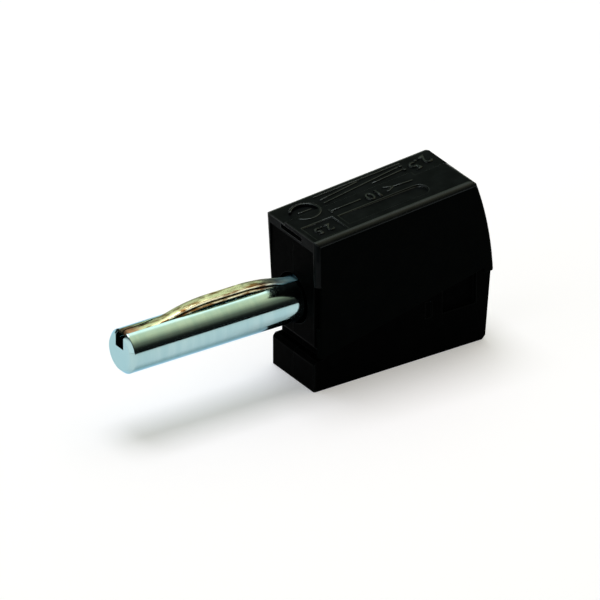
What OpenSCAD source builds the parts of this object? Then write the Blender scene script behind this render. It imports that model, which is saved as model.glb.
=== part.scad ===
// Banana plug with a slotted pin, a folded contact leaf and a spring clamp for the conductor.
// Units are millimetres. The pin points along -X, the base lies on Z = 0 and Y = 0 is the parting plane.

/* [Pin] */
// Outside diameter of the round pin
pin_d = 4; // [3.8:0.05:4.2]
// Length of pin that stands out of the front panel
pin_out = 17.6; // [16:0.1:20]
// Height of the pin's axis above the base
pin_axis_z = 7.8; // [7.5:0.1:8.2]
// Chamfer round the tip
pin_tip_chamfer = 0.35; // [0.2:0.05:0.6]
// Width of the lengthwise slot in the top of the pin
slot_w = 1.1; // [0.9:0.05:1.3]
// Depth of that slot below the top of the pin
slot_depth = 1.5; // [1.4:0.05:1.7]
// Radius of the collar that holds the pin in the carrier
collar_r = 2.75; // [2.5:0.05:2.9]
// Thickness of the collar
collar_t = 1.2; // [0.8:0.1:1.4]
// Radius of the stub that the current bar is riveted to
stub_r = 1.1; // [0.9:0.05:1.2]
// Radius of the rivet head on the stub
rivet_r = 1.4; // [1.3:0.05:1.45]
// Thickness of the rivet head
rivet_t = 0.5; // [0.3:0.05:0.6]

/* [Contact leaf] */
// Clearance between the leaf and each wall of the slot
leaf_side_gap = 0.07; // [0.04:0.01:0.1]
// Thickness of the strip
leaf_t = 0.26; // [0.2:0.02:0.3]
// Space between the two layers of the folded strip
leaf_layer_gap = 0.14; // [0.1:0.02:0.2]
// How far the crest of the bow stands above the pin
leaf_rise = 0.69; // [0.5:0.01:0.8]
// How far the ends of the bow lie below the top of the pin
leaf_sink = 0.3; // [0.2:0.02:0.4]
// Length of the straight crest
leaf_crest = 3.2; // [2:0.1:4]
// Bend radius of the bow's top face
leaf_bend_r = 14.5; // [12:0.5:16]
// Distance from the tip face back to the fold
leaf_tip_gap = 0.69; // [0.4:0.01:1]
// Straight length between the fold and the bow
leaf_lead = 0.5; // [0.3:0.1:0.7]

/* [Carrier] */
// Length of the base, from the front of the foot to the lower back edge
base_len = 17.65; // [17.2:0.05:18]
// Height of the foot under the front groove
foot_h = 2.95; // [2.6:0.05:3.1]
// Bevel along the upper front edge of the foot
foot_bevel = 0.35; // [0.2:0.05:0.5]
// Height of the front groove
groove_h = 1.05; // [0.8:0.05:1.2]
// Depth of the front groove
groove_depth = 1; // [0.6:0.1:1.2]
// Bevel along the lower edge of the front panel
panel_bevel = 0.4; // [0.2:0.05:0.6]
// Thickness of the front panel
panel_t = 1.4; // [1.3:0.05:1.8]
// Clearance round the pin in the front panel
pin_hole_gap = 0.28; // [0.2:0.02:0.35]
// Thickness of the side walls of the clamp chamber
chamber_wall = 1; // [0.8:0.05:1.2]
// Floor thickness of the clamp chamber
chamber_floor = 2.3; // [2:0.1:2.5]
// Distance from the clamp chamber to the lower back edge
back_wall_t = 3.15; // [2.8:0.05:3.4]
// Height of the clamp chamber
chamber_h = 9; // [8.6:0.1:9.3]
// Depth of the V line where the two halves meet
seam_depth = 0.1; // [0.05:0.01:0.15]
// Chamfer along the upright edges of the front panel
panel_edge = 0.12; // [0.05:0.01:0.2]
// Radius of the pegs that line up the halves
peg_r = 0.5; // [0.4:0.05:0.6]
// Length of those pegs
peg_len = 1; // [0.6:0.1:1.3]
// Clearance round the pegs
peg_gap = 0.06; // [0.04:0.01:0.1]

/* [Conductor entry] */
// Radius of the conductor entry
entry_r = 1.9; // [1.7:0.05:1.95]
// Height of the entry's axis above the base
entry_z = 4.3; // [4.2:0.05:4.4]
// Widening of the funnel at its mouth
entry_funnel = 0.35; // [0.2:0.05:0.4]
// Length of the funnel
entry_funnel_len = 0.9; // [0.6:0.1:1.2]
// Width of the screwdriver slot
tool_w = 3.2; // [2.8:0.1:3.4]
// Height of the screwdriver slot
tool_h = 1.5; // [1.2:0.1:1.6]
// Height of the screwdriver slot above the base, at the back of the hood
tool_z = 11.3; // [11:0.1:11.5]
// Downward slope of the screwdriver slot, in degrees
tool_slope = 12; // [8:1:14]

/* [Hood] */
// Width of the hood across its top
hood_w = 8.05; // [7.95:0.05:8.3]
// Thickness of the hood's side walls, at its top
hood_side_t = 0.715; // [0.695:0.005:0.79]
// Draft of the hood's sides, which narrow towards the base, in degrees
hood_draft = 2.2; // [1.5:0.1:2.4]
// Clearance between the hood and the carrier
hood_fit = 0.06; // [0.04:0.01:0.1]
// Thickness of the hood's top
hood_top_t = 0.85; // [0.75:0.05:1]
// Thickness of the hood's back wall
hood_back_t = 0.5; // [0.4:0.05:0.6]
// Height of the low left side of the top above the base, at the front panel
hood_front_z = 14.5; // [14.3:0.05:14.8]
// Rise of the hood's top towards the back, in degrees
hood_tilt = 4.5; // [3.5:0.1:5]
// Forward overhang of the hood's top over the front panel
hood_overhang = 0.2; // [0.1:0.05:0.3]
// Backward lean of the hood's front edges, in degrees
hood_lean = 2; // [1:0.5:3]
// How far the hood's lip stands behind the lower back edge
back_overhang = 0.65; // [0.5:0.05:0.9]
// Radius of the curved back
hood_back_r = 33; // [28:1:40]
// How far below the lip the centre of that curve lies
hood_back_drop = 2.55; // [1.5:0.05:3]
// Round along the upper back edge
hood_back_round = 0.8; // [0.5:0.05:1]
// Height of the lip at the back
hood_lip_z = 6.7; // [6.6:0.05:6.9]
// Height of the hood's lower edge at the front
hood_edge_z = 3.2; // [3.1:0.05:3.5]
// Height of that edge at the back, ahead of the lip
hood_edge_back_z = 7.2; // [6.9:0.05:7.3]
// Length of the lip at the lower back corner
lip_len = 1.1; // [0.8:0.05:1.3]
// Radius of the round shoulders along the top
shoulder_r = 0.55; // [0.4:0.05:0.6]
// How far the right side of the top stands above the left side
raised_h = 0.26; // [0.15:0.01:0.3]
// Reach of the raised side to the left of the parting plane
raised_left = 1; // [0.8:0.1:1.6]
// The same at the back
raised_back_left = 0.4; // [0.1:0.1:0.7]
// Length of the narrower stretch at the back, measured from the lip
raised_back_len = 5.5; // [4:0.1:7]
// Width of the recess in the hood's front rim
rim_recess_w = 3.2; // [2.6:0.1:3.6]
// Height of that recess
rim_recess_h = 0.45; // [0.3:0.05:0.55]
// Depth of that recess
rim_recess_depth = 0.5; // [0.3:0.05:0.8]
// Bottom of the notch in the right front edge
notch_z = 6.3; // [5.8:0.1:6.5]
// Height of that notch
notch_h = 4; // [3:0.1:4.4]
// Depth of that notch behind the front panel
notch_depth = 0.45; // [0.3:0.05:0.6]

/* [Snap pockets] */
// Distance from the large side pocket to the lower back edge
pocket_inset = 1; // [0.8:0.05:1.2]
// Length of the large pocket
pocket_len = 3.45; // [3.2:0.05:3.8]
// Bottom of both pockets
pocket_z = 3.8; // [3.5:0.05:4]
// Height of the large pocket
pocket_h = 4.2; // [4:0.1:4.4]
// Depth of the large pocket
pocket_depth = 0.45; // [0.4:0.05:0.55]
// Rib between the large pocket and the small one in front of it
pocket_rib = 1.1; // [0.8:0.1:1.4]
// Length of the small pocket
small_pocket_len = 0.65; // [0.4:0.05:1]
// Height of the small pocket
small_pocket_h = 1.5; // [1:0.1:1.8]
// Depth of the small pocket
small_pocket_depth = 0.15; // [0.1:0.05:0.2]
// Reach of the hood's snap noses into the pockets
nose_reach = 0.28; // [0.2:0.02:0.3]
// Height of the snap noses
nose_h = 0.6; // [0.4:0.05:0.7]

/* [Current bar] */
// Thickness of the current bar
bar_t = 0.9; // [0.7:0.05:0.95]
// Width of the bar inside the clamp
bar_w = 2.4; // [2:0.1:2.6]
// Width of the bar's upright leg
bar_leg_w = 3.7; // [3.4:0.1:3.9]
// Height of the upright leg above the pin's axis
bar_leg_up = 2; // [1.6:0.1:2.2]
// Length of the bar behind the pin's collar
bar_len = 10.6; // [10.3:0.1:10.8]
// Clearance of the rivet stub in the bar
stub_gap = 0.03; // [0.02:0.01:0.05]

/* [Clamp spring] */
// Thickness of the clamp strip
clamp_t = 0.5; // [0.4:0.05:0.55]
// Width of the clamp strip
clamp_w = 3.7; // [3.4:0.1:3.9]
// Outer radius of the round bend
clamp_loop_r = 1.6; // [1.5:0.05:1.65]
// Clearance between the rivet head and the round bend
clamp_front_gap = 0.4; // [0.3:0.05:0.5]
// Length of the upper leg between its bends
clamp_leg = 5; // [4.6:0.1:5.1]
// Rise of the upper leg, in degrees
clamp_rise = 5; // [3:0.5:6]
// Outer radius of the rear bend
clamp_bend_r = 0.9; // [0.8:0.05:1]
// Side clearance of the bar in the clamp's window
window_gap = 0.15; // [0.1:0.05:0.2]
// Height of the clamp's lower cross piece
cross_h = 0.8; // [0.7:0.05:0.9]
// Clearance between the cross piece and the bar
cross_gap = 0.05; // [0.03:0.01:0.1]
// Free end of the lower leg behind the window
clamp_tail = 0.6; // [0.4:0.1:0.8]

/* [Hidden] */
$fn = 96;
// Room for cuts to run past the solid
over = 1;
// Room for the hood's sections to start ahead of its overhang
front_room = 3;
pin_r = pin_d / 2;
hood_back_x = base_len + back_overhang;
front_x = (pin_out - hood_back_x) / 2;
slot_floor_z = pin_axis_z + pin_r - slot_depth;

leaf_w = slot_w - 2 * leaf_side_gap;
leaf_top_z = pin_axis_z + pin_r + leaf_rise;
leaf_step = (leaf_rise + leaf_sink) / 2;
leaf_angle = acos(1 - leaf_step / leaf_bend_r);
leaf_reach = leaf_bend_r * sin(leaf_angle);
leaf_stack = 2 * leaf_t + leaf_layer_gap;
leaf_fold_r = leaf_stack / 2;
leaf_fold_x = -pin_out + leaf_tip_gap + leaf_fold_r;
leaf_mid_x = leaf_fold_x + leaf_lead + 2 * leaf_reach + leaf_crest / 2;
leaf_end_z = leaf_top_z - 2 * leaf_step;
leaf_root_x = panel_t - 0.4;
// Straight run past the bow, so that the root is reached at every length
leaf_root_run = 3;
leaf_seat_z = leaf_end_z - leaf_stack - 0.03;

collar_x = panel_t;
bar_x = collar_x + collar_t;
bar_low_z = entry_z + 1.1;
bar_top_z = bar_low_z + bar_t;
rivet_x = bar_x + bar_t;

hood_in = hood_w / 2 - hood_side_t;
carrier_w = 2 * (hood_in - hood_fit);
back_center = [hood_back_x - sqrt(pow(hood_back_r, 2) - pow(hood_back_drop, 2)), hood_lip_z - hood_back_drop];
// Centre of the round along the upper back edge, at its radius from the raised top and the curved back
round_line = hood_front_z + (raised_h - hood_back_round) / cos(hood_tilt) - back_center[1]
    + back_center[0] * tan(hood_tilt);
round_turn_r = hood_back_r - hood_back_round;
round_reach = cos(hood_tilt) * sqrt(pow(round_turn_r, 2) - pow(round_line * cos(hood_tilt), 2));
round_out = round_reach - round_line * sin(hood_tilt) * cos(hood_tilt);
round_center = back_center + [round_out, round_line + round_out * tan(hood_tilt)];
carrier_back_r = hood_back_r - hood_back_t - hood_fit;
ledge_z = hood_lip_z - hood_fit;
ledge_x = hood_back_x - 2 * hood_fit;
chamber_x = bar_x;
chamber_len = base_len - back_wall_t - chamber_x;
chamber_w = carrier_w - 2 * chamber_wall;

loop_x = rivet_x + rivet_t + clamp_front_gap + clamp_loop_r;
loop_z = bar_top_z + clamp_loop_r;
bend_in = clamp_loop_r - clamp_bend_r;
bend_x = loop_x + clamp_leg * cos(clamp_rise) - bend_in * sin(clamp_rise);
bend_z = loop_z + clamp_leg * sin(clamp_rise) + bend_in * cos(clamp_rise);
cage_x = bend_x + clamp_bend_r - clamp_t;
cross_z = bar_low_z - cross_gap - cross_h;
window_w = bar_w + 2 * window_gap;
pocket_x = base_len - pocket_inset - pocket_len;
small_pocket_x = pocket_x - pocket_rib - small_pocket_len;
tool_reach = back_wall_t + back_overhang + 1;
tongue_x = cage_x - 0.8;

function top_z(x) = hood_front_z + x * tan(hood_tilt);

// Helpers: everything is drawn with x = 0 on the front panel, then moved to the row's origin

module placed() {
    translate([front_x, 0, 0]) children();
}

// A side profile drawn in X and Z, extruded to width w about Y = 0
module across(w) {
    rotate([90, 0, 0]) translate([0, 0, -w / 2]) linear_extrude(w) children();
}

// A rod along X
module rod(r, x0, x1, z) {
    translate([x0, 0, z]) rotate([0, 90, 0]) cylinder(h = x1 - x0, r = r);
}

// A box between two corners
module block(low, high) {
    translate(low) cube(high - low);
}

// Points along an arc about c, from angle a0 to angle a1
function arc(c, r, a0, a1, steps = 12) =
    [for (i = [0:steps]) c + r * [cos(a0 + (a1 - a0) * i / steps), sin(a0 + (a1 - a0) * i / steps)]];

function reversed(list) = [for (i = [len(list) - 1:-1:0]) list[i]];

// Hood: a cap over the carrier, open at the front and below

module hood_side() {
    lean = tan(hood_lean);
    high_z = top_z(hood_back_x) + raised_h + over;
    difference() {
        intersection() {
            polygon([
                [(hood_front_z - hood_edge_z) * lean - hood_overhang, hood_edge_z],
                [hood_back_x - lip_len, hood_edge_back_z],
                [hood_back_x - lip_len, hood_lip_z],
                [hood_back_x, hood_lip_z],
                [hood_back_x, high_z],
                [(hood_front_z - high_z) * lean - hood_overhang, high_z]
            ]);
            translate(back_center) circle(hood_back_r, $fn = 240);
        }
        back_corner();
    }
}

// What the round along the upper back edge takes away, seen from the side
module back_corner() {
    r = hood_back_round;
    up = [-sin(hood_tilt), cos(hood_tilt)];
    out = (round_center - back_center) / round_turn_r;
    translate(round_center)
        difference() {
            polygon([[0, 0], 2 * r * up, 3 * r * (up + out), 2 * r * out]);
            circle(r);
        }
}

// Section across the hood, with the low left side of the top at height 0
module hood_section() {
    deep = 1.3 * hood_front_z;
    half = hood_w / 2;
    low = half - deep * tan(hood_draft);
    flat = half - shoulder_r;
    polygon([[-low, -deep], [low, -deep], [half, -shoulder_r], [-half, -shoulder_r]]);
    intersection() {
        translate([-half, -shoulder_r]) square([hood_w, shoulder_r + raised_h]);
        union() {
            translate([-flat, -shoulder_r]) square([2 * flat, shoulder_r]);
            translate([flat, -shoulder_r]) circle(shoulder_r);
            translate([-half, -shoulder_r]) square([half + raised_left, raised_h]);
            translate([-flat, -shoulder_r]) square([flat + raised_left, shoulder_r + raised_h]);
            translate([-flat, raised_h - shoulder_r]) circle(shoulder_r);
        }
    }
}

module hood_inside() {
    roof = hood_top_t;
    intersection() {
        polygon([
            [-front_room, 0],
            [hood_back_x, 0],
            [hood_back_x, top_z(hood_back_x) - roof],
            [-front_room, top_z(-front_room) - roof]
        ]);
        translate(back_center) circle(hood_back_r - hood_back_t, $fn = 240);
    }
}

module tool_slot() {
    translate([hood_back_x, 0, tool_z]) rotate([0, -tool_slope, 0])
        translate([-tool_reach, -tool_w / 2, -tool_h / 2]) cube([2 * tool_reach, tool_w, tool_h]);
}

module snap_nose(side) {
    nose_x = pocket_x + 0.5;
    nose_z = pocket_z + pocket_h - 0.2 - nose_h;
    translate([nose_x, side * hood_in, nose_z]) rotate([90, 0, 90])
        linear_extrude(pocket_len - 1)
            polygon([[side * 0.1, 0], [side * -nose_reach, nose_h], [side * 0.1, nose_h]]);
}

module hood() {
    color([0.03, 0.03, 0.035]) placed() {
        difference() {
            intersection() {
                across(hood_w) hood_side();
                translate([0, 0, hood_front_z]) rotate([0, -hood_tilt, 0]) translate([-front_room, 0, 0])
                    rotate([90, 0, 90]) linear_extrude(2 * base_len) hood_section();
            }
            across(2 * hood_in) hood_inside();
            tool_slot();
            // Narrower raised side at the back
            translate([0, 0, hood_front_z]) rotate([0, -hood_tilt, 0])
                block([hood_back_x - raised_back_len, raised_back_left, 0],
                      [hood_back_x + over, raised_left + over, raised_h + over]);
            // Recess in the front rim
            block([-over, -rim_recess_w / 2, hood_front_z - 0.15 - rim_recess_h],
                  [rim_recess_depth - hood_overhang, rim_recess_w / 2, hood_front_z - 0.15]);
            // Notch in the right front edge
            block([-over, -hood_w, notch_z], [notch_depth, 0, notch_z + notch_h]);
        }
        for (side = [-1, 1]) snap_nose(side);
    }
}

// Carrier: two mirrored halves that trap the pin and the clamp

module carrier_side() {
    roof = hood_top_t + hood_fit;
    corner = 0.35;
    polygon([
        [0, 0],
        [base_len - corner, 0],
        [base_len, corner],
        [ledge_x, ledge_z],
        [0, ledge_z]
    ]);
    intersection() {
        polygon([
            [0, ledge_z - 1],
            [ledge_x - 1, ledge_z - 1],
            [hood_back_x, ledge_z],
            [hood_back_x, top_z(hood_back_x) - roof],
            [0, top_z(0) - roof]
        ]);
        translate(back_center) circle(carrier_back_r, $fn = 240);
    }
}

module front_cuts() {
    groove_top = foot_h + groove_h;
    across(carrier_w + over) polygon([
        [-over, foot_h - foot_bevel],
        [0, foot_h - foot_bevel],
        [foot_bevel, foot_h],
        [groove_depth, foot_h],
        [groove_depth, groove_top],
        [panel_bevel, groove_top],
        [0, groove_top + 1.3 * panel_bevel],
        [-over, groove_top + 1.3 * panel_bevel]
    ]);
    rod(pin_r + pin_hole_gap, -over, panel_t + 0.1, pin_axis_z);
    rod(collar_r + 0.08, collar_x, chamber_x + 0.1, pin_axis_z);
    // V line at the parting plane
    translate([0, 0, -over]) rotate([0, 0, 45])
        cube([seam_depth * sqrt(2), seam_depth * sqrt(2), 2 * hood_front_z], center = false);
    for (side = [-1, 1])
        translate([0, side * carrier_w / 2, foot_h + groove_h / 2]) rotate([0, 0, 45])
            translate([-panel_edge / sqrt(2), -panel_edge / sqrt(2), 0])
                cube([panel_edge * sqrt(2), panel_edge * sqrt(2), hood_front_z]);
}

module chamber_cuts() {
    block([chamber_x, -chamber_w / 2, chamber_floor],
          [chamber_x + chamber_len, chamber_w / 2, chamber_floor + chamber_h]);
    rod(entry_r, chamber_x + chamber_len - 0.1, hood_back_x + over, entry_z);
    translate([ledge_x - entry_funnel_len, 0, entry_z]) rotate([0, 90, 0])
        cylinder(h = entry_funnel_len + over, r1 = entry_r,
                 r2 = entry_r + entry_funnel * (1 + over / entry_funnel_len));
    tool_slot();
}

module pocket_cuts() {
    for (side = [-1, 1]) {
        translate([pocket_x, side * carrier_w / 2 - pocket_depth, pocket_z])
            cube([pocket_len, 2 * pocket_depth, pocket_h]);
        translate([small_pocket_x, side * carrier_w / 2 - small_pocket_depth, pocket_z])
            cube([small_pocket_len, 2 * small_pocket_depth, small_pocket_h]);
    }
}

module pegs(r, len) {
    for (at = [[4.5, 1.2], [13.5, 1.2], [1.6, 11.9]])
        translate([at[0], over, at[1]]) rotate([90, 0, 0]) cylinder(h = over + len, r = r, $fn = 48);
}

module carrier_body() {
    difference() {
        across(carrier_w) carrier_side();
        front_cuts();
        chamber_cuts();
        pocket_cuts();
    }
}

module carrier_left() {
    color([0.035, 0.035, 0.04]) placed() {
        intersection() {
            carrier_body();
            block([-over, 0, -over], [2 * base_len, carrier_w, 2 * hood_front_z]);
        }
        pegs(peg_r, peg_len);
    }
}

module carrier_right() {
    color([0.035, 0.035, 0.04]) placed()
        difference() {
            intersection() {
                carrier_body();
                block([-over, -carrier_w, -over], [2 * base_len, 0, 2 * hood_front_z]);
            }
            pegs(peg_r + peg_gap, peg_len + 0.2);
        }
}

// Pin: turned, with a slot milled along its top for the leaf

module plug_pin() {
    color([0.75, 0.77, 0.78]) placed()
        difference() {
            union() {
                translate([-pin_out, 0, pin_axis_z]) rotate([0, 90, 0])
                    cylinder(h = pin_tip_chamfer, r1 = pin_r - pin_tip_chamfer, r2 = pin_r);
                rod(pin_r, -pin_out + pin_tip_chamfer, collar_x + 0.1, pin_axis_z);
                rod(collar_r, collar_x, bar_x, pin_axis_z);
                rod(stub_r, bar_x - 0.1, rivet_x + 0.1, pin_axis_z);
                rod(rivet_r, rivet_x, rivet_x + rivet_t, pin_axis_z);
            }
            block([-pin_out - over, -slot_w / 2, slot_floor_z],
                  [leaf_root_x - 0.6, slot_w / 2, pin_axis_z + pin_r + over]);
            block([leaf_root_x - 0.7, -slot_w / 2, leaf_seat_z],
                  [leaf_root_x + 0.1, slot_w / 2, pin_axis_z + pin_r + over]);
        }
}

// Leaf: one strip, folded back on itself at the tip and bowed out of the slot

// One face of a bowed layer, from the fold to the root, depth below the leaf's top face
function leaf_face(depth) = let (
    crest = leaf_crest / 2,
    bend_z = leaf_top_z - leaf_bend_r,
    end_z = leaf_end_z + leaf_bend_r,
    out = crest + 2 * leaf_reach
) concat(
    [[leaf_fold_x, leaf_end_z - depth]],
    arc([leaf_mid_x - out, end_z - depth], leaf_bend_r, 270, 270 + leaf_angle),
    arc([leaf_mid_x - crest, bend_z - depth], leaf_bend_r, 90 + leaf_angle, 90),
    arc([leaf_mid_x + crest, bend_z - depth], leaf_bend_r, 90, 90 - leaf_angle),
    arc([leaf_mid_x + out, end_z - depth], leaf_bend_r, 270 - leaf_angle, 270),
    [[leaf_mid_x + out + 2 * leaf_root_run, leaf_end_z - depth]]
);

module contact_leaf() {
    fold = [leaf_fold_x, leaf_end_z - leaf_fold_r];
    color([0.72, 0.5, 0.2]) placed()
        across(leaf_w) intersection() {
            polygon(concat(
                leaf_face(0),
                reversed(leaf_face(leaf_t)),
                arc(fold, leaf_fold_r - leaf_t, 90, 270),
                leaf_face(leaf_stack - leaf_t),
                reversed(leaf_face(leaf_stack)),
                arc(fold, leaf_fold_r, 270, 90)
            ));
            translate([-pin_out, 0]) square([pin_out + leaf_root_x, 2 * leaf_top_z]);
        }
}

// Current bar: an angle riveted to the pin, with a narrow tongue inside the clamp

module current_bar() {
    color([0.8, 0.78, 0.72]) placed()
        difference() {
            union() {
                block([bar_x, -bar_leg_w / 2, bar_low_z],
                      [bar_x + bar_t, bar_leg_w / 2, pin_axis_z + bar_leg_up]);
                block([bar_x, -bar_w / 2, bar_low_z], [bar_x + bar_len, bar_w / 2, bar_top_z]);
            }
            rod(stub_r + stub_gap, bar_x - over, rivet_x + 0.01, pin_axis_z);
        }
}

// Clamp spring: one strip bent round to a cage whose window holds the bar's tongue

module clamp_side() {
    loop = [loop_x, loop_z];
    bend = [bend_x, bend_z];
    top = 90 + clamp_rise;
    polygon(concat(
        [[tongue_x, bar_top_z]],
        arc(loop, clamp_loop_r, 270, top, 24),
        arc(bend, clamp_bend_r, top, 0),
        [[cage_x + clamp_t, cross_z], [cage_x, cross_z]],
        arc(bend, clamp_bend_r - clamp_t, 0, top),
        arc(loop, clamp_loop_r - clamp_t, top, 270, 24),
        [[tongue_x, bar_top_z + clamp_t]]
    ));
}

module clamp_spring() {
    // The window ends just below the rear bend, which leaves the tongue room when the clamp opens
    window_top = bend_z - 0.2;
    tail_x = cage_x + clamp_t + clamp_tail;
    color([0.6, 0.61, 0.62]) placed() {
        difference() {
            across(clamp_w) clamp_side();
            block([cage_x - 0.1, -window_w / 2, cross_z + cross_h],
                  [cage_x + clamp_t + 0.1, window_w / 2, window_top]);
        }
        // Tongue of the lower leg, which passes through the window on top of the bar
        block([tongue_x - 0.5, -bar_w / 2, bar_top_z], [tail_x, bar_w / 2, bar_top_z + clamp_t]);
    }
}

hood();
carrier_left();
carrier_right();
plug_pin();
contact_leaf();
current_bar();
clamp_spring();
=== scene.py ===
# %% [markdown]
# # A banana plug, dressed for the camera
# The solids of the plug come in as a fixed frame, and every piece below is drawn where the frame says.
# The pin points along -X, the foot stands on Z = 0, and the housing is split down the middle at Y = 0.
# The frame's own box is kept.

# %% Load the frame
import math

import bmesh
import bpy
from mathutils import Matrix, Vector


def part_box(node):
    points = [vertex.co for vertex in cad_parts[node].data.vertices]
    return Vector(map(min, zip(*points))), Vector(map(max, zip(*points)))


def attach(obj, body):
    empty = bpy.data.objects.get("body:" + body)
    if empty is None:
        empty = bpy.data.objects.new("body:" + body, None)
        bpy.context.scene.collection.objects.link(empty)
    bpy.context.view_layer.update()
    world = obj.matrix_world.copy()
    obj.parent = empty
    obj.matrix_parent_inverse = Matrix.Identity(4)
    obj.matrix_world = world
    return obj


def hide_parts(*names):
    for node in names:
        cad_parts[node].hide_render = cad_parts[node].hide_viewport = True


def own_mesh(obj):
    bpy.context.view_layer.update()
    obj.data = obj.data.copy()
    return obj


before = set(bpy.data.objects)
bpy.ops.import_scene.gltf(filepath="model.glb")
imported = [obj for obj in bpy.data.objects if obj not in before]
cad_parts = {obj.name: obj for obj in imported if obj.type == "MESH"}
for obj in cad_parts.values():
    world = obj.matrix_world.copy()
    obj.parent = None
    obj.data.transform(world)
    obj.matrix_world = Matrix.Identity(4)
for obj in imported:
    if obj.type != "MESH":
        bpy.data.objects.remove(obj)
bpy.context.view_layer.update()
MM_PER_M = 1000


# %% [markdown]
# ## The camera
# The photograph was taken from far away with a long lens, so edges that are parallel on the plug stay so
# in it. Distance, angle and scale were fitted to corners that can be found on the plug, such as the ends
# of the top. A lens of about a metre on a 36 mm sensor gives the same flat view.

# %% Set up the camera
AZIMUTH = math.radians(-33.504)
ELEVATION = math.radians(28.516)
CAMERA_DISTANCE = 1.4286
PIXELS_PER_METRE = 11739.5
IMAGE_SIDE = 600
SENSOR_MM = 36
LOOK_AT = Vector((-0.000075, 0, 0.0075))
LOOK_AT_PIXEL = (295.56, 299.88)


def put_in_scene(name, data):
    """Makes an object from a camera, lamp, mesh or curve and links it to the scene."""
    thing = bpy.data.objects.new(name, data)
    bpy.context.scene.collection.objects.link(thing)
    return thing


back = Vector((
    math.sin(AZIMUTH) * math.cos(ELEVATION),
    -math.cos(AZIMUTH) * math.cos(ELEVATION),
    math.sin(ELEVATION),
))
right = Vector((math.cos(AZIMUTH), math.sin(AZIMUTH), 0))
up = back.cross(right)
aside = (IMAGE_SIDE / 2 - LOOK_AT_PIXEL[0]) / PIXELS_PER_METRE
below = (IMAGE_SIDE / 2 - LOOK_AT_PIXEL[1]) / PIXELS_PER_METRE

camera = put_in_scene("camera", bpy.data.cameras.new("camera"))
camera.data.sensor_width = SENSOR_MM
camera.data.lens = PIXELS_PER_METRE * CAMERA_DISTANCE * SENSOR_MM / IMAGE_SIDE
camera.location = LOOK_AT + back * CAMERA_DISTANCE + right * aside - up * below
camera.rotation_mode = "QUATERNION"
camera.rotation_quaternion = (-back).to_track_quat("-Z", "Y")
bpy.context.scene.camera = camera
bpy.context.scene.view_settings.view_transform = "Standard"
print("lens in mm:", round(camera.data.lens))

# %% [markdown]
# ## Floor and light
# The plug stands on a white table. A plain diffuse white would come out grey wherever the light thins
# out, so a little of the floor's white is its own glow, which only the camera and mirrors see. The rest
# is lit by the lamp, and so it keeps the soft shadow.

# %% Lay the floor
FLOOR_HALF = 2.0
FLOOR_DROP = 0.00001
FLOOR_GLOW = 0.33
FLOOR_WHITE = (0.72, 0.72, 0.81, 1)


def new_finish(name):
    """A node material with its tree's nodes and links at hand."""
    finish = bpy.data.materials.new(name)
    finish.use_nodes = True
    return finish, finish.node_tree.nodes, finish.node_tree.links


floor_mesh = bpy.data.meshes.new("floor")
sheet = bmesh.new()
bmesh.ops.create_grid(sheet, x_segments=1, y_segments=1, size=FLOOR_HALF)
bmesh.ops.translate(sheet, vec=(0, 0, -FLOOR_DROP), verts=sheet.verts)
sheet.to_mesh(floor_mesh)
sheet.free()
floor = put_in_scene("floor", floor_mesh)

table_white, nodes, links = new_finish("table_white")
nodes.remove(nodes["Principled BSDF"])
lit = nodes.new("ShaderNodeBsdfDiffuse")
lit.inputs["Color"].default_value = FLOOR_WHITE
glow = nodes.new("ShaderNodeEmission")
path = nodes.new("ShaderNodeLightPath")
seen = path.outputs["Is Camera Ray"]
for ray in ("Is Glossy Ray", "Is Transmission Ray"):
    either = nodes.new("ShaderNodeMath")
    either.operation = "MAXIMUM"
    links.new(seen, either.inputs[0])
    links.new(path.outputs[ray], either.inputs[1])
    seen = either.outputs[0]
share = nodes.new("ShaderNodeMath")
share.operation = "MULTIPLY"
share.inputs[1].default_value = FLOOR_GLOW
links.new(seen, share.inputs[0])
links.new(share.outputs[0], glow.inputs["Strength"])
both = nodes.new("ShaderNodeAddShader")
links.new(lit.outputs[0], both.inputs[0])
links.new(glow.outputs[0], both.inputs[1])
links.new(both.outputs[0], nodes["Material Output"].inputs["Surface"])
floor_mesh.materials.append(table_white)
print("floor laid,", 2 * FLOOR_HALF, "m across")

# %% [markdown]
# Polished metal shows its surroundings, so the room matters as much as the lamp. Above the white table
# comes a dark band, then it grows brighter up to a ceiling that is warm in front and cool behind. A white
# wall stands before the tip, where only its chamfer sees it. That gives the pin its one dark line. The
# room is a colour ramp over the angle to the ceiling, because a ramp is easy to tune.

# %% Paint the room
CEILING_WAY = Vector((0.485, 0.25, 0.84)).normalized()
CEILING = [
    (0.00, (0.004, 0.004, 0.004)),
    (0.25, (0.007, 0.007, 0.006)),
    (0.36, (0.018, 0.017, 0.013)),
    (0.47, (0.075, 0.072, 0.050)),
    (0.58, (0.125, 0.115, 0.078)),
    (0.69, (0.25, 0.235, 0.155)),
    (0.79, (0.42, 0.38, 0.24)),
    (0.87, (0.56, 0.51, 0.33)),
    (0.95, (0.62, 0.57, 0.38)),
    (0.98, (0.66, 0.62, 0.45)),
    (0.994, (1.00, 0.98, 0.84)),
]
COOL_SIDE = [(0.20, (1.00, 1.00, 1.00)), (0.65, (0.62, 0.86, 1.00))]
WALL_FROM_X = (-0.70, -0.80)
WALL_WHITE = (0.60, 0.61, 0.60, 1)
ROOM_STRENGTH = 1.8
# A Mix node has its own two inputs and its own output for each kind of value
MIX_SOCKETS = {"FLOAT": (2, 3, 0), "RGBA": (6, 7, 2)}


def feed(links, value, socket):
    """Links an output to a socket, or sets a plain value on it."""
    if isinstance(value, bpy.types.NodeSocket):
        links.new(value, socket)
    else:
        socket.default_value = value


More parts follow.
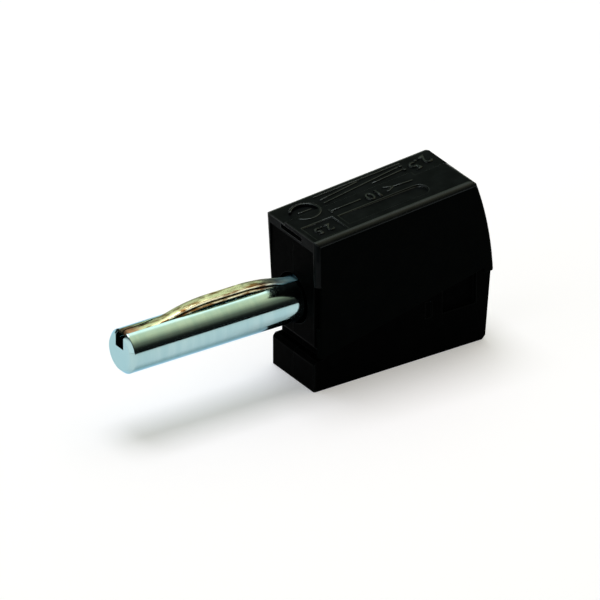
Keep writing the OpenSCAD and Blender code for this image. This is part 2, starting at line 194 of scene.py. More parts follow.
def mix(nodes, links, factor, first, second, kind="RGBA", how="MIX"):
    """Mixes two colours or two numbers."""
    node = nodes.new("ShaderNodeMix")
    node.data_type = kind
    node.blend_type = how
    low, high, result = MIX_SOCKETS[kind]
    feed(links, factor, node.inputs["Factor"])
    feed(links, first, node.inputs[low])
    feed(links, second, node.inputs[high])
    return node.outputs[result]


def map_range(nodes, links, value, given, wanted=(0.0, 1.0), curve="LINEAR"):
    """Stretches a given range of numbers to a wanted one."""
    stretch = nodes.new("ShaderNodeMapRange")
    stretch.interpolation_type = curve
    for end, number in zip(("From Min", "From Max", "To Min", "To Max"), (*given, *wanted)):
        stretch.inputs[end].default_value = number
    links.new(value, stretch.inputs["Value"])
    return stretch.outputs["Result"]


def ramp(nodes, links, value, places):
    """A colour ramp with as many stops as places gives."""
    node = nodes.new("ShaderNodeValToRGB")
    while len(node.color_ramp.elements) < len(places):
        node.color_ramp.elements.new(1.0)
    for stop, (place, colour) in zip(node.color_ramp.elements, places):
        stop.position = place
        stop.color = (*colour, 1)
    links.new(value, node.inputs[0])
    return node.outputs["Color"]


room = bpy.data.worlds.new("room")
bpy.context.scene.world = room
room.use_nodes = True
nodes, links = room.node_tree.nodes, room.node_tree.links
look = nodes.new("ShaderNodeTexCoord").outputs["Generated"]
towards = nodes.new("ShaderNodeVectorMath")
towards.operation = "DOT_PRODUCT"
towards.inputs[1].default_value = CEILING_WAY
links.new(look, towards.inputs[0])
across = nodes.new("ShaderNodeSeparateXYZ")
links.new(look, across.inputs[0])
ceiling = ramp(nodes, links, towards.outputs["Value"], CEILING)
cool_side = ramp(nodes, links, across.outputs["Y"], COOL_SIDE)
tinted = mix(nodes, links, 1.0, ceiling, cool_side, how="MULTIPLY")
beside = map_range(nodes, links, across.outputs["X"], WALL_FROM_X)
with_wall = mix(nodes, links, beside, tinted, WALL_WHITE, how="ADD")
links.new(with_wall, nodes["Background"].inputs["Color"])
nodes["Background"].inputs["Strength"].default_value = ROOM_STRENGTH
print("room painted with", len(CEILING), "steps from the dark band to the ceiling")

# %% [markdown]
# One large soft lamp hangs above the plug, a little behind it, so the shadow falls softly forwards. The
# wider an area lamp is for its distance, the softer its shadow, and half its distance is about right
# here.

# %% Hang the lamp
LAMP_TILT = math.radians(12)
LAMP_DISTANCE = 0.45
LAMP_SIDE = 0.22
LAMP_WATTS = 1.0
lamp = put_in_scene("soft_lamp", bpy.data.lights.new("soft_lamp", "AREA"))
lamp.data.size = LAMP_SIDE
lamp.data.energy = LAMP_WATTS
lamp_way = Vector((0, math.sin(LAMP_TILT), math.cos(LAMP_TILT)))
lamp.location = lamp_way * LAMP_DISTANCE
lamp.rotation_mode = "QUATERNION"
lamp.rotation_quaternion = lamp_way.to_track_quat("Z", "Y")
print("lamp of", LAMP_WATTS, "W at", [round(c, 3) for c in lamp.location])

# %% [markdown]
# ## A few workshop tools
# All pieces are drawn in millimetres, with x = 0 on the front panel, and scaled to metres at the very
# end. A pen draws a side view as a chain of edges. Spinning its last vertex draws an arc, so no point of
# it has to be worked out. The view is then filled and pulled to its width, like dough through a cutter.

# %% Drawing
FRONT = MM_PER_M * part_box("carrier_left")[0].x


def verts_in(geom):
    """The vertices among the things that an operator made."""
    return [g for g in geom if isinstance(g, bmesh.types.BMVert)]


class Pen:
    """Draws a closed outline in x and z, one line or arc at a time, and fills it."""

    def __init__(self, x, z, y=0):
        self.bm = bmesh.new()
        self.first = self.last = self.bm.verts.new((x, y, z))

    def line(self, x, z):
        corner = self.bm.verts.new((x, self.first.co.y, z))
        self.bm.edges.new((self.last, corner))
        self.last = corner
        return self

    def arc(self, x, z, degrees, steps):
        """Turns about (x, z), clockwise as seen from the front side, -Y."""
        turned = bmesh.ops.spin(
            self.bm, geom=[self.last], cent=(x, 0, z), axis=(0, 1, 0),
            angle=math.radians(degrees), steps=steps,
        )
        self.last = verts_in(turned["geom_last"])[0]
        return self

    def fill(self):
        self.bm.edges.new((self.last, self.first))
        bmesh.ops.contextual_create(self.bm, geom=list(self.bm.edges))
        return self.bm


def pull(bm, reach):
    """Pulls every face of a flat drawing along reach into a closed solid."""
    pulled = bmesh.ops.extrude_face_region(bm, geom=list(bm.faces), use_keep_orig=True)["geom"]
    bmesh.ops.translate(bm, vec=reach, verts=verts_in(pulled))
    bmesh.ops.recalc_face_normals(bm, faces=bm.faces)


def widen(bm, width):
    """Pulls every edge of a drawn path across into a strip."""
    drawn = bmesh.ops.extrude_edge_only(bm, edges=list(bm.edges))["geom"]
    bmesh.ops.translate(bm, vec=(0, width, 0), verts=verts_in(drawn))


def turn(bm, degrees, axis, verts=None):
    """Turns a drawing, or some of its vertices, about an axis through the origin."""
    matrix = Matrix.Rotation(math.radians(degrees), 3, axis)
    bmesh.ops.rotate(bm, cent=(0, 0, 0), matrix=matrix, verts=bm.verts if verts is None else verts)


def cut_away(bm, spot, way):
    """Cuts off what lies beyond a plane through spot, on the side that way points to."""
    everything = bm.verts[:] + bm.edges[:] + bm.faces[:]
    bmesh.ops.bisect_plane(bm, geom=everything, plane_co=spot, plane_no=way, clear_outer=True)


def round_corner(bm, corner, radius, segments=5):
    """Rounds one corner of a flat drawing."""
    bmesh.ops.bevel(
        bm, geom=[corner], offset=radius, offset_type="OFFSET", segments=segments,
        profile=0.5, affect="VERTICES", material=-1,
    )


print("front panel at x =", round(FRONT, 3), "mm")

# %% [markdown]
# Boxes and round bars are the stock and the cutters. A boolean modifier cuts, joins or intersects two
# closed shapes, and the exact solver copes with faces that touch. Its leftovers are then merged and
# dissolved, because clean faces bevel well.

# %% Carving
MERGE_MM = 0.001
NEARLY_FLAT = math.radians(0.5)


def block(low, high):
    """A box between two corners."""
    bm = bmesh.new()
    bmesh.ops.create_cube(bm, size=1)
    bmesh.ops.scale(bm, vec=Vector(high) - Vector(low), verts=bm.verts)
    bmesh.ops.translate(bm, vec=(Vector(low) + Vector(high)) / 2, verts=bm.verts)
    return bm


def rod(x0, x1, z, r0, r1=None, segments=72):
    """A round bar or cone along x."""
    bm = bmesh.new()
    end_r = r0 if r1 is None else r1
    bmesh.ops.create_cone(bm, cap_ends=True, segments=segments, radius1=r0, radius2=end_r, depth=x1 - x0)
    turn(bm, 90, "Y")
    bmesh.ops.translate(bm, vec=((x0 + x1) / 2, 0, z), verts=bm.verts)
    return bm


def carve(body, tool, operation="DIFFERENCE"):
    """Cuts, joins or intersects two closed shapes, uses both up and returns the result."""
    work = []
    for shape in (body, tool):
        mesh = bpy.data.meshes.new("work")
        shape.to_mesh(mesh)
        shape.free()
        work.append(put_in_scene("work", mesh))
    knife = work[0].modifiers.new("knife", "BOOLEAN")
    knife.object = work[1]
    knife.operation = operation
    knife.solver = "EXACT"
    carved = work[0].evaluated_get(bpy.context.evaluated_depsgraph_get())
    result = bmesh.new()
    result.from_mesh(carved.to_mesh())
    for shape in work:
        bpy.data.meshes.remove(shape.data)
    bmesh.ops.remove_doubles(result, verts=result.verts, dist=MERGE_MM)
    bmesh.ops.dissolve_limit(
        result, angle_limit=NEARLY_FLAT, verts=result.verts, edges=result.edges, delimit=set()
    )
    return result


print("shapes are merged to", MERGE_MM, "mm after each cut")

# %% [markdown]
# No moulded or pressed edge is truly sharp: a thin round runs along each, and it catches the light. The
# next tool bevels every edge where two faces meet at a clear angle, and gives the rounds the piece's
# second finish, if it has one. A weighted normal modifier then keeps the flat faces flat to the eye.

# %% Softening and handing over
FLAT_AREA = 0.3


def soften(bm, width, segments=2, angle=25, where=None):
    """Rounds the edges that are sharper than angle, or those of them that where picks."""
    limit = math.radians(angle)
    sharp = [
        e for e in bm.edges
        if len(e.link_faces) == 2 and e.calc_face_angle(0) > limit and (where is None or where(e))
    ]
    rounds = bmesh.ops.bevel(
        bm, geom=sharp, offset=width, offset_type="OFFSET", segments=segments,
        profile=0.5, affect="EDGES", material=-1, clamp_overlap=False,
    )
    # On the black plastics the second finish is glossier and also lighter, a painted highlight on the
    # rounds.
    for face in rounds["faces"]:
        face.material_index = 1
    return len(sharp)


def middle(edge):
    """The point halfway along an edge."""
    return (edge.verts[0].co + edge.verts[1].co) / 2


def hand_over(bm, name, finishes, body, nodes=(), flats=False):
    """Moves a drawing into the frame, gives it its finishes and lets it ride on its body.
    With flats, the larger faces are shaded flat, apart from those of the second finish."""
    for face in bm.faces:
        face.smooth = not (flats and face.material_index != 1 and face.calc_area() > FLAT_AREA)
    bmesh.ops.translate(bm, vec=(FRONT, 0, 0), verts=bm.verts)
    bmesh.ops.scale(bm, vec=(0.001, 0.001, 0.001), verts=bm.verts)
    for face in bm.faces:
        face.material_index = min(face.material_index, len(finishes) - 1)
    mesh = bpy.data.meshes.new(name)
    bm.to_mesh(mesh)
    bm.free()
    for finish in finishes:
        mesh.materials.append(finish)
    piece = put_in_scene(name, mesh)
    weighted = piece.modifiers.new("flat_faces", "WEIGHTED_NORMAL")
    weighted.keep_sharp = False
    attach(piece, body)
    if nodes:
        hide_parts(*nodes)
    print(f"{name}: {len(mesh.vertices)} vertices, {len(mesh.polygons)} faces")
    return piece


# %% [markdown]
# ## Black moulded plastic
# The housing is black plastic. Its faces come from a sparked mould and are matt and nearly black, while
# the edges and the raised marks come from polished parts of the mould and are glossier. The finishes for
# the top, the front rim, the rounds and the marks are also lighter copies of the same black: painted
# light on the top and the rim, painted highlight on the rounds and marks. Three noises do the work: a
# wide one varies the colour, a finer one the gloss, and the finest is the grain. The patterns read Object
# coordinates in metres, so scale 6000 means grains of a sixth of a millimetre.

# %% Mix the black plastic
NOISE_MIDDLE = (0.3, 0.7)
PLASTIC_TINT = (0.80, 0.94, 1.0, 1)
TONE_SPREAD = (0.35, 0.7)
GRAIN_DEPTH = 0.00002


def noise(nodes, links, place, scale, detail):
    node = nodes.new("ShaderNodeTexNoise")
    node.inputs["Scale"].default_value = scale
    node.inputs["Detail"].default_value = detail
    links.new(place, node.inputs["Vector"])
    return node.outputs["Fac"]


def vary(nodes, links, place, tone, gloss, grain):
    """Gives a shader its colour, roughness and grain, each from a noise of its own scale and detail."""
    shader = nodes["Principled BSDF"]
    tone_scale, tone_detail, places = tone
    colour = ramp(nodes, links, noise(nodes, links, place, tone_scale, tone_detail), places)
    links.new(colour, shader.inputs["Base Color"])
    gloss_scale, gloss_detail, rough = gloss
    gloss_noise = noise(nodes, links, place, gloss_scale, gloss_detail)
    links.new(map_range(nodes, links, gloss_noise, NOISE_MIDDLE, rough), shader.inputs["Roughness"])
    grain_scale, grain_detail, strength, depth = grain
    bump = nodes.new("ShaderNodeBump")
    bump.inputs["Strength"].default_value = strength
    bump.inputs["Distance"].default_value = depth
    links.new(noise(nodes, links, place, grain_scale, grain_detail), bump.inputs["Height"])
    links.new(bump.outputs["Normal"], shader.inputs["Normal"])


def black_plastic(name, dark, light, gloss, rough, grain):
    finish, nodes, links = new_finish(name)
    shader = nodes["Principled BSDF"]
    place = nodes.new("ShaderNodeTexCoord").outputs["Object"]
    shader.inputs["Specular IOR Level"].default_value = gloss
    shader.inputs["Specular Tint"].default_value = PLASTIC_TINT
    tones = list(zip(TONE_SPREAD, (dark, light)))
    vary(nodes, links, place, (700, 4, tones), (1900, 3, rough), (6000, 2, grain, GRAIN_DEPTH))
    return finish


# The two matt blacks are the plain colour. The lighter blacks are painted light on the top and the rim,
# and painted highlight on the rounds and the marks.
hood_matt = black_plastic(
    "hood_matt", (0.0004, 0.0008, 0.0007), (0.0009, 0.0014, 0.0012), 0.006, (0.40, 0.52), 0.20
)
hood_top_lit = black_plastic(
    "hood_top_lit", (0.0020, 0.0026, 0.0029), (0.0048, 0.0060, 0.0066), 0.014, (0.36, 0.50), 0.30
)
hood_sheen = black_plastic(
    "hood_sheen", (0.0040, 0.0046, 0.0046), (0.0080, 0.0090, 0.0090), 0.22, (0.20, 0.32), 0.12
)
carrier_matt = black_plastic(
    "carrier_matt", (0.0005, 0.0006, 0.0006), (0.0012, 0.0013, 0.0013), 0.004, (0.45, 0.58), 0.16
)
carrier_sheen = black_plastic(
    "carrier_sheen", (0.0016, 0.0018, 0.0018), (0.0030, 0.0034, 0.0034), 0.014, (0.34, 0.46), 0.10
)
hood_rim_lit = black_plastic(
    "hood_rim_lit", (0.0020, 0.0023, 0.0023), (0.0040, 0.0045, 0.0048), 0.045, (0.30, 0.42), 0.15
)
mark_gloss_and_sheen = black_plastic(
    "mark_gloss_and_sheen", (0.0030, 0.0034, 0.0034), (0.0060, 0.0066, 0.0066), 0.55, (0.16, 0.26), 0.08
)
blacks = (hood_matt, hood_top_lit, hood_sheen, hood_rim_lit, carrier_matt, carrier_sheen, mark_gloss_and_sheen)
print("mixed", [finish.name for finish in blacks])

# %% [markdown]
# ## The hood
# The hood is the cap of the housing: a thin black moulding with a sloping top, a curved back, round
# shoulders. The right side of the top stands a little higher than the left. Its form is what three views
# have in common: the side view has the slope and the curved back, the end view the step and the
# shoulders, and the plan the round upright edges. The first two are drawn flat and pulled, and the three
# are intersected.

# %% Draw the hood's side view
SLOPE_DEG = 4.5
SLOPE = math.radians(SLOPE_DEG)
TOP_FRONT = 14.5
TOP_CORNER = (-0.209, 14.744)
BACK_CENTRE = (-14.601, 4.15)
BACK_RADIUS = 33
BACK_SWEEP = -15.62
ROUND_CENTRE = (15.647, 15.190)
ROUND_SWEEP = -74.45
LEAN = math.tan(math.radians(2))
OVERHANG = 0.2
EDGE_FRONT_Z = 3.2
EDGE_BACK_Z = 7.2
EDGE_ROUND = 0.4
LIP_X = 17.2
LIP_Z = 6.7
BACK_X = 18.3
SIDE_REACH = 5

side_view = (
    Pen((TOP_FRONT - EDGE_FRONT_Z) * LEAN - OVERHANG, EDGE_FRONT_Z, y=-SIDE_REACH)
    .line(LIP_X, EDGE_BACK_Z)
    .line(LIP_X, LIP_Z)
    .line(BACK_X, LIP_Z)
    .arc(*BACK_CENTRE, BACK_SWEEP, 16)
    .arc(*ROUND_CENTRE, ROUND_SWEEP, 10)
    .line(*TOP_CORNER)
    .fill()
)
round_corner(side_view, min(side_view.verts, key=lambda v: v.co.z), EDGE_ROUND)
pull(side_view, (0, 2 * SIDE_REACH, 0))
print("side view:", len(side_view.faces), "faces")

# %% [markdown]
# The end view is drawn standing in the same plane and turned to face along x. It is a little deeper than
# the hood is tall and narrows downwards by the mould's draft. A hair of extra height keeps its faces off
# the side view's, because two faces in one plane are the hardest thing for a boolean.

# %% Draw the hood's end view
HALF_WIDTH = 4.025
DRAFT = math.tan(math.radians(2.2))
RAISED = 0.26
RAISED_LEFT = 1.0
SHOULDER = 0.55
SHOULDER_STEPS = 8
SECTION_DEEP = 14
HAIR = 0.003
END_START = 3
END_REACH = 26
low_half = HALF_WIDTH - SECTION_DEEP * DRAFT
end_view = (
    Pen(-low_half, -SECTION_DEEP, y=END_START)
    .line(-HALF_WIDTH, -SHOULDER)
    .line(-HALF_WIDTH, RAISED - SHOULDER)
    .arc(SHOULDER - HALF_WIDTH, RAISED - SHOULDER, 90, SHOULDER_STEPS)
    .line(RAISED_LEFT, RAISED)
    .line(RAISED_LEFT, 0)
    .line(HALF_WIDTH - SHOULDER, 0)
    .arc(HALF_WIDTH - SHOULDER, -SHOULDER, 90, SHOULDER_STEPS)
    .line(low_half, -SECTION_DEEP)
    .fill()
)
turn(end_view, 90, "Z")
bmesh.ops.translate(end_view, vec=(0, 0, HAIR), verts=end_view.verts)
pull(end_view, (END_REACH, 0, 0))


def lay_on_top(bm):
    """Lays a flat drawing on the sloping top, where z = 0 is its lower, left side."""
    turn(bm, -SLOPE_DEG, "Y")
    bmesh.ops.translate(bm, vec=(0, 0, TOP_FRONT), verts=bm.verts)
    return bm


lay_on_top(end_view)
print("end view:", len(end_view.faces), "faces")

# %% [markdown]
# The plan changes as it rises: the front leans, the back follows its curve, and the sides spread by the
# draft. So it is extruded upwards in short steps, and after each step its two ends are moved and widened
# a little. The face that each step leaves inside is deleted, since a boolean needs a shape with nothing
# in it. Towards the back the raised side is narrower, which a last box cuts.

# %% Raise the hood's plan and intersect the views
FRONT_ROUND = 0.6
BACK_ROUND = 0.45
BACK_LEFT_ROUND = 0.9
PLAN_LOW = 2.4
PLAN_STEP = 0.5
PLAN_STEPS = 28
PLAN_MIDDLE = 9
PLAN_ROOM = 0.03
FRONT_ROOM = 0.001
BACK_INSET = 0.01
SPREAD = SECTION_DEEP * DRAFT / (SECTION_DEEP - SHOULDER)
RAISED_BACK_CUT = ((12.8, 0.4, HAIR), (20, 2, 1))


def plan_ends(z):
    """The plan's front and back at a height, and half the width of each end."""
    front = (TOP_FRONT - z) * LEAN - OVERHANG - FRONT_ROOM
    back = BACK_CENTRE[0] + math.sqrt((BACK_RADIUS - BACK_INSET) ** 2 - (z - BACK_CENTRE[1]) ** 2)
    ends = []
    for x in (front, back):
        under_top = (TOP_FRONT + x * math.tan(SLOPE) - z) * math.cos(SLOPE)
        ends.append((x, HALF_WIDTH + PLAN_ROOM - (under_top - SHOULDER) * SPREAD))
    return ends


plan = bmesh.new()
(front_x, front_half), (back_x, back_half) = plan_ends(PLAN_LOW)
corners = [(front_x, -front_half), (back_x, -back_half), (back_x, back_half), (front_x, front_half)]
plan.faces.new([plan.verts.new((x, y, PLAN_LOW)) for x, y in corners])
for corner in list(plan.verts):
    at_back = BACK_ROUND if corner.co.y < 0 else BACK_LEFT_ROUND
    round_corner(plan, corner, FRONT_ROUND if corner.co.x < PLAN_MIDDLE else at_back, 8)
layer = list(plan.faces)
for step in range(PLAN_STEPS):
    lower = plan_ends(PLAN_LOW + step * PLAN_STEP)
    higher = plan_ends(PLAN_LOW + (step + 1) * PLAN_STEP)
    lifted = bmesh.ops.extrude_face_region(plan, geom=layer, use_keep_orig=True)["geom"]
    if step > 0:
        bmesh.ops.delete(plan, geom=layer, context="FACES_ONLY")
    layer = [g for g in lifted if isinstance(g, bmesh.types.BMFace)]
    for (low_x, low_y), (high_x, high_y), side in zip(lower, higher, (-1, 1)):
        end = [v for v in verts_in(lifted) if (v.co.x - PLAN_MIDDLE) * side > 0]
        bmesh.ops.scale(plan, vec=(1, high_y / low_y, 1), verts=end)
        bmesh.ops.translate(plan, vec=(high_x - low_x, 0, PLAN_STEP), verts=end)
bmesh.ops.recalc_face_normals(plan, faces=plan.faces)

hood = carve(carve(side_view, end_view, "INTERSECT"), plan, "INTERSECT")
hood = carve(hood, lay_on_top(block(*RAISED_BACK_CUT)))
print("hood block:", len(hood.faces), "faces")

# %% [markdown]
# The block is then hollowed for the carrier. The front rim has a shallow slot for a marker tag, the right
# front edge has a notch, and a screwdriver goes in through the curved back to open the clamp. The tag
# slot lies close under the thin roof, so its rounds are finer than the others, or they would overlap.

# %% Hollow the hood
INSIDE_HALF = 3.31
INSIDE_FRONT = -2
INSIDE_LOW = 2
INSIDE_HIGH = 17.5
ROOF = 0.85
BACK_WALL = 0.5
TAG_SLOT = ((-1, -1.6, 13.90), (0.30, 1.6, 14.35))
NOTCH = ((-1, -5, 6.3), (0.45, 0, 10.3))
TOOL_HALF = Vector((4.8, 1.6, 0.75))
TOOL_SLOPE_DEG = -12
TOOL_PLACE = (18.3, 0, 11.3)
TAG_SLOT_EDGE = 0.03
HOOD_EDGE = 0.07
top_normal = Vector((-math.sin(SLOPE), 0, math.cos(SLOPE)))
inside_back = BACK_CENTRE[0] + BACK_RADIUS - BACK_WALL
inside = (
    Pen(INSIDE_FRONT, INSIDE_LOW, y=-INSIDE_HALF)
    .line(inside_back, INSIDE_LOW)
    .line(inside_back, BACK_CENTRE[1])
    .arc(*BACK_CENTRE, -27, 18)
    .line(INSIDE_FRONT, INSIDE_HIGH)
    .fill()
)
cut_away(inside, (0, 0, TOP_FRONT - ROOF), top_normal)
pull(inside, (0, 2 * INSIDE_HALF, 0))


def screwdriver_way():
    """The sloping slot that a screwdriver takes through the hood and the carrier."""
    way = block(-TOOL_HALF, TOOL_HALF)
    turn(way, TOOL_SLOPE_DEG, "Y")
    bmesh.ops.translate(way, vec=TOOL_PLACE, verts=way.verts)
    return way


def in_tag_slot(edge):
    spot = middle(edge)
    return spot.x < 0.4 and abs(spot.y) < 1.65 and 13.85 < spot.z < 14.4


for cut in (inside, block(*TAG_SLOT), block(*NOTCH), screwdriver_way()):
    hood = carve(hood, cut)
print("softened", soften(hood, TAG_SLOT_EDGE, where=in_tag_slot), "edges of the tag slot")
print("softened", soften(hood, HOOD_EDGE, 2, 50, lambda e: not in_tag_slot(e)), "edges of the hood")

# %% [markdown]
# Two shallow recesses lie in the raised side of the top: a box for a size number and a long channel that
# grows deeper towards the back, where its corners are round. They are cut after the hood's edges are
# softened, so that only their own upper edges are rounded now, and those rounds are what catches the
# light.

# %% Sink the recesses
RECESS = 0.14
CHANNEL_FRONT = 3.95
CHANNEL_BACK = 12.45
CHANNEL_RIGHT = -2.8
CHANNEL_WIDTH = 1.7
CHANNEL_DEPTHS = (0.10, 0.25)
CHANNEL_ROUND = 0.8
CHANNEL_MIDDLE = 1.95
ABOVE = 0.5
NUMBER_BOX = ((0.35, -3.3, RAISED - RECESS), (3.45, -0.85, RAISED + ABOVE))

channel = (
    Pen(CHANNEL_FRONT, RAISED - CHANNEL_DEPTHS[0], y=CHANNEL_RIGHT)
    .line(CHANNEL_BACK, RAISED - CHANNEL_DEPTHS[1])
    .line(CHANNEL_BACK, RAISED + ABOVE)
    .line(CHANNEL_FRONT, RAISED + ABOVE)
    .fill()
)
pull(channel, (0, CHANNEL_WIDTH, 0))


def at_channel_corner(edge):
    """Whether an edge is one of the two upright ones at the channel's back end."""
    at_back = min(v.co.x for v in edge.verts) > CHANNEL_BACK - 0.05
    return at_back and abs(middle(edge).y + CHANNEL_MIDDLE) > 0.8


def above_top(point):
    """How far a point lies above the lower side of the top."""
    return (point - Vector((0, 0, TOP_FRONT))).dot(top_normal)


def in_recess(edge):
    spot = middle(edge)
    return 0.3 < spot.x < 12.6 and -3.35 < spot.y < -0.8 and above_top(spot) > RAISED - 0.01


soften(channel, CHANNEL_ROUND, 6, where=at_channel_corner)
hood = carve(hood, lay_on_top(channel))
hood = carve(hood, lay_on_top(block(*NUMBER_BOX)))
print("softened", soften(hood, HOOD_EDGE, 2, 25, in_recess), "upper edges of the recesses")

# %% [markdown]
# One moulding, four finishes. The sides are matt. The top has a stronger grain and a lighter tone, which
# is painted light for the face turned up to the lamp. The shoulders, the rounds near the top, the recess
# walls and the tag slot's floor are glossier, as from a polished part of the mould, and lighter, which is
# painted highlight. The front rim lies between them, and its lighter tone is painted light too. Each face
# is sorted by where it is and which way it faces, which needs no painting by hand.

# %% Sort the hood's faces by finish
MATT, SHEEN, RIM, TOP = range(4)
for face in hood.faces:
    spot = face.calc_center_median()
    height = above_top(spot)
    tilt = face.normal.dot(top_normal)
    edge_round = face.material_index == SHEEN
    shoulder = abs(face.normal.y) > 0.08 and tilt > 0.1
    recess_wall = -3.4 < spot.y < -0.7 and abs(tilt) < 0.9
    at_front = spot.x < 0.6
    slot_floor = spot.z > 13.8 and abs(spot.y) < 1.7 and face.normal.z > 0.3
    front_rim = spot.z > 10.2 and face.normal.x < -0.4
    face.material_index = MATT
    if height > -0.6 and (edge_round or shoulder):
        face.material_index = SHEEN
    elif height > -0.02:
        face.material_index = SHEEN if recess_wall else TOP
    elif at_front and slot_floor:
        face.material_index = SHEEN
    elif at_front and front_rim:
        face.material_index = RIM if spot.z < 13.5 else TOP
hood_finishes = [hood_matt, hood_sheen, hood_rim_lit, hood_top_lit]
hand_over(hood, "hood_cap", hood_finishes, "housing", ["hood"], flats=True)

# %% [markdown]
# ## The carrier
# Under the hood sits the carrier, two mirrored mouldings that meet at the fine upright seam in the front
# panel. One half is drawn as a side view, with the foot, the groove above it and the ledge at the back,
# and pulled to half the width. It is carved for the pin, the clamp, the conductor and the snap pockets.
# The other half is the same drawing, mirrored by a negative scale, which turns its faces, so they are
# reversed.

# %% Shape the two halves of the carrier
CARRIER_HALF = 3.25
PIN_Z = 7.8
ENTRY_Z = 4.3
ENTRY_R = 1.9
FUNNEL_R = ENTRY_R + 0.35 * 2 / 0.9
FOOT_BEVEL = 0.35
FOOT_TOP = 2.95
GROOVE_TOP = 4.0
GROOVE_DEPTH = 1
BASE_LENGTH = 17.65
FOOT_CORNER = 0.2
CARRIER_EDGE = 0.06
OUTSIDE = 5


def at_foot_corner(edge):
    spot = middle(edge)
    return spot.z < FOOT_TOP and spot.x < 0.1 and spot.y > CARRIER_HALF - 0.01


def carrier_half():
    half = (
        Pen(0, 0)
        .line(0, 2.6)
        .line(FOOT_BEVEL, FOOT_TOP)
        .line(GROOVE_DEPTH, FOOT_TOP)
        .line(GROOVE_DEPTH, GROOVE_TOP)
        .line(0.4, GROOVE_TOP)
        .line(0, 4.52)
        .line(0, 13.59)
        .line(15.8, 14.83)
        .line(16.144, 14.5)
        .arc(*BACK_CENTRE, 14.21, 12)
        .line(18.18, 6.64)
        .line(BASE_LENGTH, FOOT_BEVEL)
        .line(17.3, 0)
        .fill()
    )
    pull(half, (0, CARRIER_HALF, 0))
    pin_hole = rod(-1, 1.5, PIN_Z, 2.28)
    collar_seat = rod(1.4, 2.7, PIN_Z, 2.83)
    chamber = block((2.6, -2.25, 2.3), (14.5, 2.25, 11.3))
    entry = rod(14.4, 20, ENTRY_Z, ENTRY_R)
    funnel = rod(17.28, 19.28, ENTRY_Z, ENTRY_R, FUNNEL_R)
    snap_pocket = block((13.2, CARRIER_HALF - 0.45, 3.8), (16.65, OUTSIDE, 8.0))
    small_pocket = block((11.45, CARRIER_HALF - 0.15, 3.8), (12.1, OUTSIDE, 5.3))
    cuts = [pin_hole, collar_seat, chamber, entry, funnel, screwdriver_way(), snap_pocket, small_pocket]
    for cut in cuts:
        half = carve(half, cut)
    soften(half, FOOT_CORNER, 3, where=at_foot_corner)
    soften(half, CARRIER_EDGE)
    return half


for side in ("left", "right"):
    half = carrier_half()
    if side == "right":
        bmesh.ops.scale(half, vec=(1, -1, 1), verts=half.verts)
        bmesh.ops.reverse_faces(half, faces=half.faces)
    # The rounds take the carrier's lighter, glossier black: real gloss and a painted highlight.
    finishes = [carrier_matt, carrier_sheen]
    hand_over(half, f"carrier_half_{side}", finishes, "housing", [f"carrier_{side}"], flats=True)

# %% [markdown]
# ## The pin
# The 4 mm pin is turned from brass bar and plated with bright nickel. A turned part is a spin: half of
# its outline, swept once round its axis. The collar and the rivet stub behind the panel belong to it. The
# slot along the top, which a mill cuts, is carved out of the turned shape. The tip's chamfer is part of
# the outline.

# %% Turn the pin
PIN_R = 2.0
TIP_CHAMFER = 0.35
COLLAR_R = 2.75
COLLAR_FRONT, COLLAR_BACK = 1.4, 2.6
STUB_R = 1.1
RIVET_R = 1.4
RIVET_X = 3.5
SLOT_HALF = 0.55
SLOT_FLOOR = 8.3
SLOT_ABOVE = 12
SEAT_FLOOR = 8.81
PIN_EDGE = 0.045
TIP = MM_PER_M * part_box("plug_pin")[0].x - FRONT
PIN_END = MM_PER_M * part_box("plug_pin")[1].x - FRONT
outline = [
    (TIP, 0), (TIP, PIN_R - TIP_CHAMFER), (TIP + TIP_CHAMFER, PIN_R), (COLLAR_FRONT, PIN_R),
    (COLLAR_FRONT, COLLAR_R), (COLLAR_BACK, COLLAR_R), (COLLAR_BACK, STUB_R), (RIVET_X, STUB_R),
    (RIVET_X, RIVET_R), (PIN_END, RIVET_R), (PIN_END, 0),
]
pin = bmesh.new()
stations = [pin.verts.new((x, 0, PIN_Z + r)) for x, r in outline]
profile = [pin.edges.new(pair) for pair in zip(stations, stations[1:])]
bmesh.ops.spin(
    pin, geom=stations + profile, cent=(0, 0, PIN_Z), axis=(1, 0, 0),
    angle=math.tau, steps=144, use_merge=True,
)
bmesh.ops.remove_doubles(pin, verts=pin.verts, dist=0.0001)
bmesh.ops.recalc_face_normals(pin, faces=pin.faces)
pin = carve(pin, block((TIP - 1, -SLOT_HALF, SLOT_FLOOR), (0.4, SLOT_HALF, SLOT_ABOVE)))
pin = carve(pin, block((0.3, -SLOT_HALF, SEAT_FLOOR), (1.1, SLOT_HALF, SLOT_ABOVE)))
soften(pin, PIN_EDGE, 3)
print("pin:", len(pin.faces), "faces")

# %% [markdown]
# Nickel plate is a mirror with a cool cast. Turning leaves very fine rings, so the gloss varies along x
# much faster than round the pin: a Mapping node squeezes the noise lengthwise. The same recipe, with
# other colours and another squeeze, serves for the plug's other metals.

# %% Plate the pin with nickel
METAL_GRAIN_DEPTH = 0.000004
NICKEL_TINT = (0.55, 0.82, 1.0, 1)


def metal(name, colours, spread, rough, squeeze, scale, grain):
    finish, nodes, links = new_finish(name)
    nodes["Principled BSDF"].inputs["Metallic"].default_value = 1.0
    mapping = nodes.new("ShaderNodeMapping")
    mapping.inputs["Scale"].default_value = squeeze
    links.new(nodes.new("ShaderNodeTexCoord").outputs["Object"], mapping.inputs["Vector"])
    tones = list(zip(spread, colours))
    vary(
        nodes, links, mapping.outputs["Vector"],
        (scale / 6, 3, tones), (scale, 2, rough), (2 * scale, 2, grain, METAL_GRAIN_DEPTH),
    )
    return finish


nickel_tones = ((0.37, 0.57, 0.60), (0.42, 0.61, 0.63))
bright_nickel = metal("bright_nickel", nickel_tones, (0.35, 0.65), (0.06, 0.13), (9, 1, 1), 900, 0.20)
